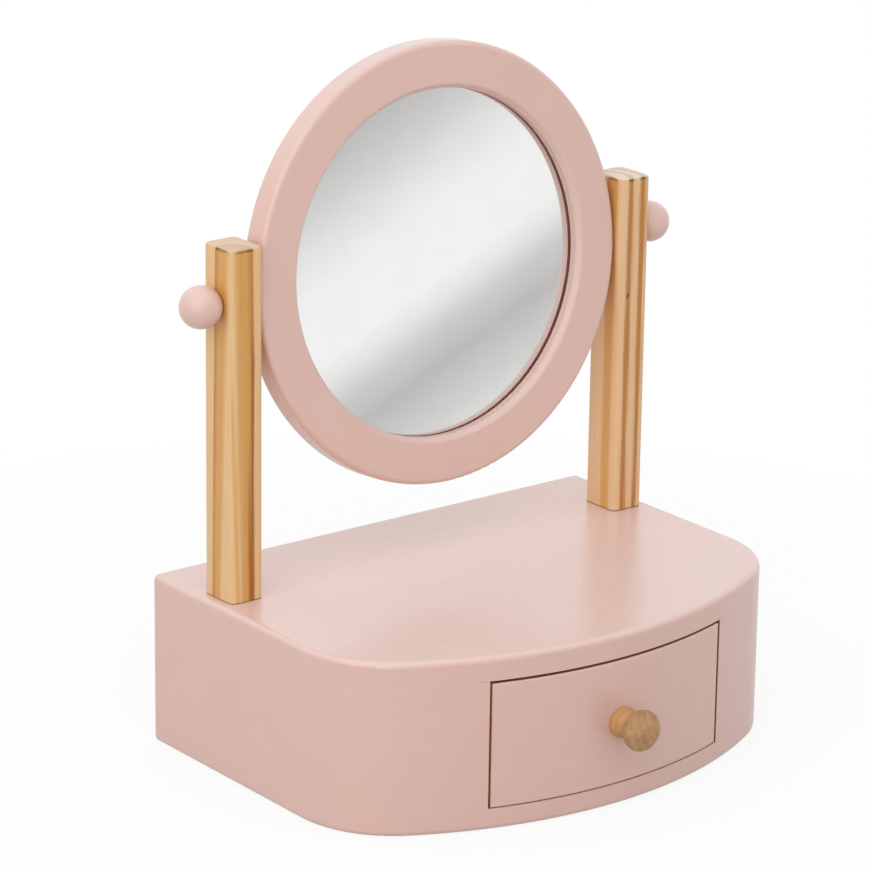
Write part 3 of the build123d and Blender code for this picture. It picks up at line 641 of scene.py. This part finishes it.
def plywood(name, across, grain_turn, start):
    """Birch plywood. across is 0, 1 or 2 for the axis through the sheet."""
    material, tree, shader, position, facing = new_material(name)
    laid = measured_from(tree, position, start, grain_turn)
    rings = place_group(tree, growth_rings, Position=laid, **PLY_RINGS).outputs
    depth = calc(tree, "SUBTRACT", split(tree, position)[across], start[across])
    plies = place_group(tree, ply_lines, Across=depth, Facing=split(tree, facing)[across],
                        Ply=PLY_THICKNESS, Fibre=rings["Fibre"]).outputs
    figure = between(tree, calc(tree, "SINE", product(tree, rings["Ring"], math.tau)), -1.0, 1.0, 0.0, 0.4)
    face = blend_colours(tree, figure, BIRCH, BIRCH_FIGURE)
    face = blend_colours(tree, between(tree, rings["Fibre"], 0.5, 0.8, 0.0, 0.5), face, BIRCH_FIBRE)
    edge = blend_colours(tree, product(tree, plies["Lines"], 0.75), face, PLY_EDGE)
    feed(tree, shader.inputs["Base Color"], edge)
    feed(tree, shader.inputs["Roughness"], between(tree, rings["Fibre"], 0.2, 0.8, 0.5, 0.68))
    relief = calc(tree, "MULTIPLY_ADD", plies["Lines"], -1.5, rings["Fibre"])
    feed(tree, shader.inputs["Normal"], bump(tree, relief, PLY_RELIEF))
    return material


left_ply = plywood("plywood_left_side", 0, ALONG_Y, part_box("drawer_left_side")[0])
right_ply = plywood("plywood_right_side", 0, ALONG_Y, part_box("drawer_right_side")[0])
back_ply = plywood("plywood_back", 1, ALONG_X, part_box("drawer_back")[0])
bottom_ply = plywood("plywood_bottom", 2, ALONG_X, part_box("drawer_bottom")[0])
print(left_ply.name, right_ply.name, back_ply.name, bottom_ply.name)

# %% Hardboard and felt
HARDBOARD, HARDBOARD_PALE, HARDBOARD_STAIN = screen(122, 88, 60), screen(160, 122, 86), screen(108, 76, 52)
FELT_GREY, FELT_WHITE = screen(205, 203, 198), screen(236, 235, 231)
PULP_RELIEF, FELT_RELIEF = 0.03 * MM, 0.08 * MM
hardboard, tree, shader, position, facing = new_material("hardboard")
pulp = noise(tree, position, 700, 6, 0.75, 0.8)
patch = noise(tree, position, 45, 3)
brown = blend_colours(tree, between(tree, pulp, 0.3, 0.7), HARDBOARD, HARDBOARD_PALE)
brown = blend_colours(tree, between(tree, patch, 0.4, 0.7, 0.0, 0.35), brown, HARDBOARD_STAIN)
feed(tree, shader.inputs["Base Color"], brown)
feed(tree, shader.inputs["Roughness"], between(tree, pulp, 0.3, 0.7, 0.45, 0.62))
feed(tree, shader.inputs["Normal"], bump(tree, pulp, PULP_RELIEF))

felt, tree, shader, position, facing = new_material("backing_felt")
hairs = between(tree, noise(tree, position, 1800, 6, 0.8, 1.5), 0.3, 0.7)
feed(tree, shader.inputs["Base Color"], blend_colours(tree, hairs, FELT_GREY, FELT_WHITE))
feed(tree, shader.inputs["Roughness"], calc(tree, "MULTIPLY_ADD", hairs, 0.13, 0.85))
feed(tree, shader.inputs["Normal"], bump(tree, hairs, FELT_RELIEF))
print(hardboard.name, felt.name)

# %% [markdown]
# ## Zinc plated steel
# Screws and nails are bright zinc, a little cloudy, with fine scratches from the
# driver and the bag. Metal shows its surroundings, so its colour is its
# reflection: what the tree varies is mostly how rough the plating is.

# %% Zinc
ZINC, ZINC_CLOUDY, SCRATCH_RELIEF = screen(196, 198, 200), screen(168, 168, 164), 0.01 * MM
zinc, tree, shader, position, facing = new_material("zinc_plated_steel")
shader.inputs["Metallic"].default_value = 1.0
blotch = noise(tree, position, 420, 4, 0.6)
plating = blend_colours(tree, between(tree, blotch, 0.35, 0.7), ZINC, ZINC_CLOUDY)
feed(tree, shader.inputs["Base Color"], plating)
feed(tree, shader.inputs["Roughness"], between(tree, blotch, 0.3, 0.75, 0.24, 0.44))
scratches = noise(tree, position, 2400, 2, 0.5, 2.5)
feed(tree, shader.inputs["Normal"], bump(tree, scratches, SCRATCH_RELIEF))
print(zinc.name)

# %% [markdown]
# ## The finishes go onto the solids
# Each solid but the glass keeps its mesh and gets its finish in the material slot
# that it already has.

# %% Dress the solids
finishes = {
    case_paint: ["top_board", "bottom_board", "left_side_panel", "right_side_panel", "left_corner_block",
                 "right_corner_block", "back_panel", "left_divider", "right_divider", "drawer_front"],
    frame_paint: ["mirror_frame", "left_pivot_ball", "right_pivot_ball"],
    left_pine: ["left_post"],
    right_pine: ["right_post"],
    knob_beech: ["drawer_knob"],
    pin_beech: ["left_pivot_pin", "right_pivot_pin"],
    dowel_beech: ["case_dowels"],
    left_ply: ["drawer_left_side"],
    right_ply: ["drawer_right_side"],
    back_ply: ["drawer_back"],
    bottom_ply: ["drawer_bottom"],
    hardboard: ["mirror_back_panel"],
    felt: ["mirror_pad"],
    zinc: ["post_screws", "bottom_screws", "mirror_back_screws", "knob_screw", "drawer_brads"],
}
for finish, names in finishes.items():
    for name in names:
        pieces[name].material_slots[0].material = finish
print("dressed", sum(len(names) for names in finishes.values()), "of", len(pieces))

# %% [markdown]
# ## The mirror's plate
# A mirror is a sheet of clear glass with silver on its back. Light goes through
# the glass, bounces off the silver and comes out again, so near the frame there
# is a thin dark step between the lip and its own reflection. A single shiny disc
# has no such step. The plate is one closed mesh turned from a profile, with a
# ground bevel on its rim: the front and the rim are glass, the back is silver.
# It ends a tenth of a millimetre before the felt behind it, because two faces in
# one plane would fight over which of them is seen.

# %% Glass and silver
CLEAR, SMEARED = (0.985, 0.989, 0.985, 1), (0.97, 0.976, 0.972, 1)
SILVER, HAZY_SILVER = (0.93, 0.93, 0.925, 1), (0.915, 0.917, 0.912, 1)
glass, tree, shader, position, facing = new_material("clear_glass")
shader.inputs["Transmission Weight"].default_value = 1.0
shader.inputs["IOR"].default_value = 1.5
smear = noise(tree, position, 30, 4, 0.6, 0.6)
feed(tree, shader.inputs["Base Color"], blend_colours(tree, between(tree, smear, 0.3, 0.7), CLEAR, SMEARED))
feed(tree, shader.inputs["Roughness"], between(tree, smear, 0.62, 0.9, 0.0, 0.03))

silver, tree, shader, position, facing = new_material("silvered_back")
shader.inputs["Metallic"].default_value = 1.0
haze = noise(tree, position, 60, 3)
mirrored = blend_colours(tree, between(tree, haze, 0.3, 0.7), SILVER, HAZY_SILVER)
feed(tree, shader.inputs["Base Color"], mirrored)
feed(tree, shader.inputs["Roughness"], between(tree, haze, 0.55, 0.9, 0.0, 0.02))
print(glass.name, silver.name)

# %% The plate's mesh
sideways = Vector((1, 0, 0))
upwards = outward.cross(sideways)
GROUND_BEVEL, FELT_GAP, TURNS = 0.4 * MM, 0.1 * MM, 192
rear = FELT_GAP - half
profile = [(plate_radius - GROUND_BEVEL, half), (plate_radius, half - GROUND_BEVEL),
           (plate_radius, rear + GROUND_BEVEL), (plate_radius - GROUND_BEVEL, rear)]
angles = [math.tau * step / TURNS for step in range(TURNS)]
spokes = [math.cos(angle) * sideways + math.sin(angle) * upwards for angle in angles]
form = bmesh.new()
rims = [[form.verts.new(plate_centre + outward * depth + spoke * radius) for spoke in spokes]
        for radius, depth in profile]
form.faces.new(rims[0])
form.faces.new(reversed(rims[-1])).material_index = 1
for outer, inner in zip(rims, rims[1:]):
    for step in range(TURNS):
        form.faces.new((outer[step - 1], inner[step - 1], inner[step], outer[step]))
bmesh.ops.recalc_face_normals(form, faces=form.faces)
plate_mesh = bpy.data.meshes.new("mirror_plate")
form.to_mesh(plate_mesh)
form.free()
plate_mesh.materials.append(glass)
plate_mesh.materials.append(silver)
plate = bpy.data.objects.new("mirror_plate", plate_mesh)
bpy.context.scene.collection.objects.link(plate)
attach(plate, "mirror")
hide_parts("mirror_glass")
print(plate.name, len(plate_mesh.polygons), "faces")

# %% [markdown]
# ## Camera
# The picture was taken from the front left, looking down by about 18 degrees, with
# a long lens. The angles and the distance were solved from the object's own edges.

# %% Camera
yaw, pitch, roll = math.radians(38.005), math.radians(17.768), math.radians(0.807)
aim, distance = Vector((1.678, 0, 108.232)) * MM, 1512.85 * MM
ahead = Vector((math.sin(yaw) * math.cos(pitch), math.cos(yaw) * math.cos(pitch), -math.sin(pitch)))
level = Vector((math.cos(yaw), -math.sin(yaw), 0))
over = level.cross(ahead)
right_hand = math.cos(roll) * level + math.sin(roll) * over
head = math.cos(roll) * over - math.sin(roll) * level
lens = bpy.data.cameras.new("camera")
lens.sensor_width, lens.lens = 36, 170.035
camera = bpy.data.objects.new("camera", lens)
turned = Matrix((right_hand, head, -ahead)).transposed().to_4x4()
camera.matrix_world = Matrix.Translation(aim - ahead * distance) @ turned
bpy.context.scene.collection.objects.link(camera)
bpy.context.scene.camera = camera
print("camera at", [round(c, 3) for c in camera.matrix_world.translation], "lens", lens.lens)

# %% [markdown]
# ## Studio
# The object stands on white paper in soft light. The world is white to the
# camera and in reflections. As light it is bright above and dimmer below, as in
# a room with a pale ceiling. What the mirror's glass shows is a studio wall:
# white with soft grey bands that lie across the reflection at a slant. The bands
# are a pattern of direction, so a mirror has something to show from any side, and
# they light nothing.

# %% World
LIGHT_BELOW, LIGHT_ABOVE = 0.44, 0.92
BAND_DIRECTION, BANDS_PER_UNIT, BAND_START = (0.3524, 0.409, -0.8417), 17.156, 0.643
BAND_GREYS = [(0.0, 0.53), (0.18, 0.69), (0.30, 0.82), (0.44, 0.945), (0.56, 0.97), (0.70, 0.97),
              (0.78, 0.87), (0.88, 0.65), (1.0, 0.53)]


def warm_grey(grey):
    """A grey, a little warmer the darker it is."""
    return grey, grey * (0.96 + 0.04 * grey), grey * (0.93 + 0.07 * grey), 1


world = bpy.data.worlds.new("studio")
bpy.context.scene.world = world
world.use_nodes = True
tree = world.node_tree
ray = add_node(tree, "ShaderNodeTexCoord").outputs["Generated"]
slant = vector(tree, "DOT_PRODUCT", ray, BAND_DIRECTION)["Value"]
turn = calc(tree, "FRACT", calc(tree, "MULTIPLY_ADD", slant, BANDS_PER_UNIT, BAND_START))
bands = colour_ramp(tree, turn, [(place, warm_grey(grey)) for place, grey in BAND_GREYS])
rays = add_node(tree, "ShaderNodeLightPath").outputs
seen = calc(tree, "MAXIMUM", rays["Is Camera Ray"], rays["Is Transmission Ray"])
seen = calc(tree, "MAXIMUM", seen, rays["Is Glossy Ray"])
backdrop = tree.nodes["Background"]
feed(tree, backdrop.inputs["Color"], blend_colours(tree, rays["Is Transmission Ray"], (1, 1, 1, 1), bands))
ambient = between(tree, split(tree, ray)["Z"], -1, 1, LIGHT_BELOW, LIGHT_ABOVE, smooth=False)
feed(tree, backdrop.inputs["Strength"], calc(tree, "MAXIMUM", seen, ambient))
print("world light from", LIGHT_BELOW, "to", LIGHT_ABOVE)

# %% [markdown]
# ## Floor
# The paper is white to look at, and its shadow is faint because most of what the
# camera sees is the paper's own white. Light that it throws back at the object is
# held lower, as from paper that lies in the object's half shade.

# %% Floor
FLOOR_RADIUS, SHADE_FADES, SHADE_ENDS = 500 * MM, 140 * MM, 360 * MM
FLOOR_BOUNCE, FLOOR_IN_GLOSS, OWN_WHITE = 0.58, 0.6, 0.85
paper, tree, shader, position, facing = new_material("white_paper")
away = vector(tree, "LENGTH", position)["Value"]
rays = add_node(tree, "ShaderNodeLightPath").outputs
seen = calc(tree, "MAXIMUM", rays["Is Camera Ray"], rays["Is Transmission Ray"])
seen = calc(tree, "MAXIMUM", seen, product(tree, rays["Is Glossy Ray"], FLOOR_IN_GLOSS))
grain = between(tree, noise(tree, position, 400, 3), 0.3, 0.7, 0.94, 0.96)
white = between(tree, seen, 0, 1, FLOOR_BOUNCE, 1.0, smooth=False)
feed(tree, shader.inputs["Base Color"], grey_of(tree, product(tree, white, grain)))
shader.inputs["Roughness"].default_value = 0.9
glow = add_node(tree, "ShaderNodeEmission", Color=(1, 1, 1, 1), Strength=white)
far_away = between(tree, away, SHADE_FADES, SHADE_ENDS)
own_white = calc(tree, "MAXIMUM", far_away, calc(tree, "MULTIPLY", seen, OWN_WHITE))
fade = add_node(tree, "ShaderNodeMixShader", Fac=own_white)
feed(tree, fade.inputs[1], shader.outputs[0])
feed(tree, fade.inputs[2], glow.outputs[0])
feed(tree, tree.nodes["Material Output"].inputs["Surface"], fade.outputs[0])

sheet = bmesh.new()
bmesh.ops.create_circle(sheet, cap_ends=True, segments=96, radius=FLOOR_RADIUS)
floor_mesh = bpy.data.meshes.new("floor")
sheet.to_mesh(floor_mesh)
sheet.free()
floor_mesh.materials.append(paper)
floor = bpy.data.objects.new("floor", floor_mesh)
bpy.context.scene.collection.objects.link(floor)
print("floor radius", FLOOR_RADIUS)

# %% [markdown]
# ## Lamp
# One large soft box stands to the left, above and a little in front. It makes the
# top the lightest face, then the left side and its corner, leaves the front by the
# drawer darker, and puts a soft light spot on the balls.

# %% Lamp
KEY_PLACE, KEY_AIM = Vector((-0.85, -0.5, 0.75)), Vector((0, 0, 0.1))
KEY_SIZE, KEY_POWER = 1.3, 5.2
light = bpy.data.lights.new("key_box", "AREA")
light.shape, light.size, light.energy = "SQUARE", KEY_SIZE, KEY_POWER
lamp = bpy.data.objects.new("key_box", light)
lamp.location = KEY_PLACE
lamp.rotation_euler = (KEY_AIM - KEY_PLACE).to_track_quat("-Z", "Y").to_euler()
bpy.context.scene.collection.objects.link(lamp)
print("lamp", lamp.name, KEY_POWER, "W")

# %% [markdown]
# ## Colours
# The colours are shown as they are written.

# %% Finish
bpy.context.scene.view_settings.view_transform = "Standard"
